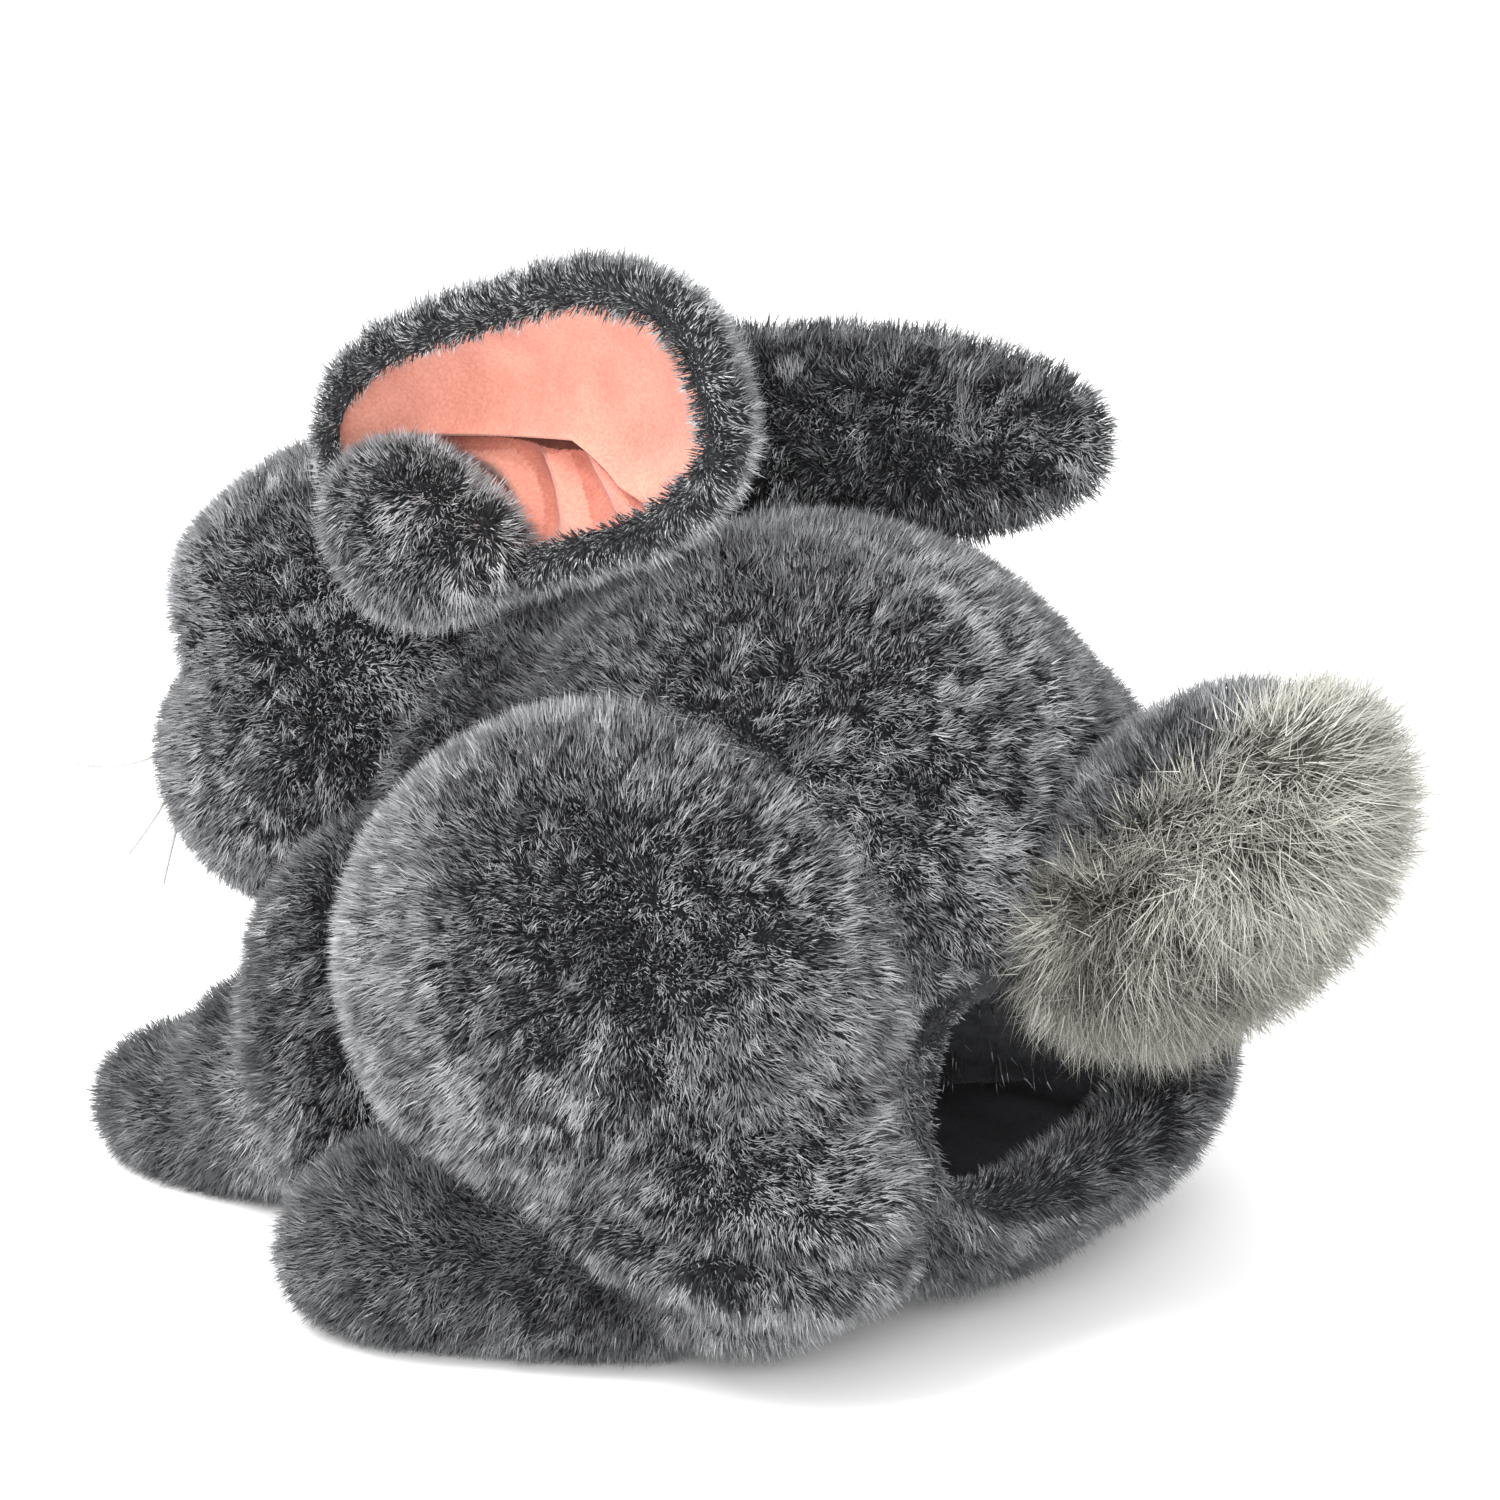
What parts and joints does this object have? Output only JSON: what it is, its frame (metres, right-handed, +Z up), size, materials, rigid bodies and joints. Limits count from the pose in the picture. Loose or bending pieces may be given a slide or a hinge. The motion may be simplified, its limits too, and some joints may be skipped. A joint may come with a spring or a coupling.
{
  "type": "rabbit hand puppet",
  "caption": "Crouching plush rabbit hand puppet with a lined hand opening under the tail, folding ears, moving head, forelegs, hind feet and tail.",
  "frame": {"origin": "on the floor, under the middle of the whole toy's box", "axes": "+Z up, -Y the way the rabbit faces, +X its left side"},
  "size_m": [0.204, 0.3242, 0.2303],
  "materials": {
    "grey_plush": "short dense plush pile, dark at the root and paler at the tip",
    "long_pile": "long loose beige-grey pile",
    "filling": "polyester fibre filling",
    "black_lining": "smooth woven lining, matt",
    "pink_velour": "short-napped velour",
    "eye_plastic": "polished dark brown",
    "washer_plastic": "moulded, matt",
    "nose_velour": "short-napped velour",
    "thread": "twisted embroidery thread",
    "bristle": "clear-grey nylon monofilament"
  },
  "bodies": {
    "torso": {"body_fur_left": "grey_plush", "body_fur_right": "grey_plush", "belly_panel": "grey_plush", "body_stuffing": "filling", "hand_lining": "black_lining", "opening_hem": "grey_plush", "thigh_fur_left": "grey_plush", "thigh_fur_right": "grey_plush", "thigh_stuffing_left": "filling", "thigh_stuffing_right": "filling"},
    "neck": {"neck_sleeve": "black_lining"},
    "head": {"head_fur_left": "grey_plush", "head_fur_right": "grey_plush", "head_stuffing": "filling", "head_finger_pocket": "black_lining", "nose": "nose_velour", "mouth_stitch": "thread", "eye_left": "eye_plastic", "eye_right": "eye_plastic", "eye_washer_left": "washer_plastic", "eye_washer_right": "washer_plastic", "whiskers_left": "bristle", "whiskers_right": "bristle"},
    "tail": {"tail_top_fur": "grey_plush", "tail_under_fur": "long_pile", "tail_stuffing": "filling"},
    "ear_left": {"ear_fur_left": "grey_plush", "ear_lining_left": "pink_velour"},
    "foreleg_left": {"foreleg_fur_left": "grey_plush", "foreleg_stuffing_left": "filling", "foreleg_pocket_left": "black_lining"},
    "hind_foot_left": {"hind_foot_fur_left": "grey_plush", "hind_foot_stuffing_left": "filling"},
    "ear_right": {"ear_fur_right": "grey_plush", "ear_lining_right": "pink_velour"},
    "foreleg_right": {"foreleg_fur_right": "grey_plush", "foreleg_stuffing_right": "filling", "foreleg_pocket_right": "black_lining"},
    "hind_foot_right": {"hind_foot_fur_right": "grey_plush", "hind_foot_stuffing_right": "filling"}
  },
  "joints": [
    {"name": "neck_turn", "type": "hinge", "parent": "torso", "child": "neck", "pos_m": [0, -0.062, 0.106], "axis": [0, 0, 1], "range_deg": [-12, 12]},
    {"name": "head_nod", "type": "hinge", "parent": "neck", "child": "head", "pos_m": [0, -0.062, 0.106], "axis": [1, 0, 0], "range_deg": [0, 18]},
    {"name": "ear_fold_left", "type": "hinge", "parent": "head", "child": "ear_left", "pos_m": [0.03, -0.075, 0.151], "axis": [1, 0, 0], "range_deg": [-6, 45]},
    {"name": "ear_fold_right", "type": "hinge", "parent": "head", "child": "ear_right", "pos_m": [-0.03, -0.075, 0.151], "axis": [1, 0, 0], "range_deg": [0, 60]},
    {"name": "foreleg_lift_left", "type": "hinge", "parent": "torso", "child": "foreleg_left", "pos_m": [0.036, -0.078, 0.031], "axis": [1, 0, 0], "range_deg": [-25, 0]},
    {"name": "foreleg_lift_right", "type": "hinge", "parent": "torso", "child": "foreleg_right", "pos_m": [-0.036, -0.078, 0.031], "axis": [1, 0, 0], "range_deg": [-25, 0]},
    {"name": "hind_foot_drop_left", "type": "hinge", "parent": "torso", "child": "hind_foot_left", "pos_m": [0.08, 0.042, 0.018], "axis": [1, 0, 0], "range_deg": [0, 30]},
    {"name": "hind_foot_drop_right", "type": "hinge", "parent": "torso", "child": "hind_foot_right", "pos_m": [-0.08, 0.042, 0.018], "axis": [1, 0, 0], "range_deg": [0, 30]},
    {"name": "tail_lift", "type": "hinge", "parent": "torso", "child": "tail", "pos_m": [0, 0.097, 0.093], "axis": [1, 0, 0], "range_deg": [-20, 25]}
  ]
}
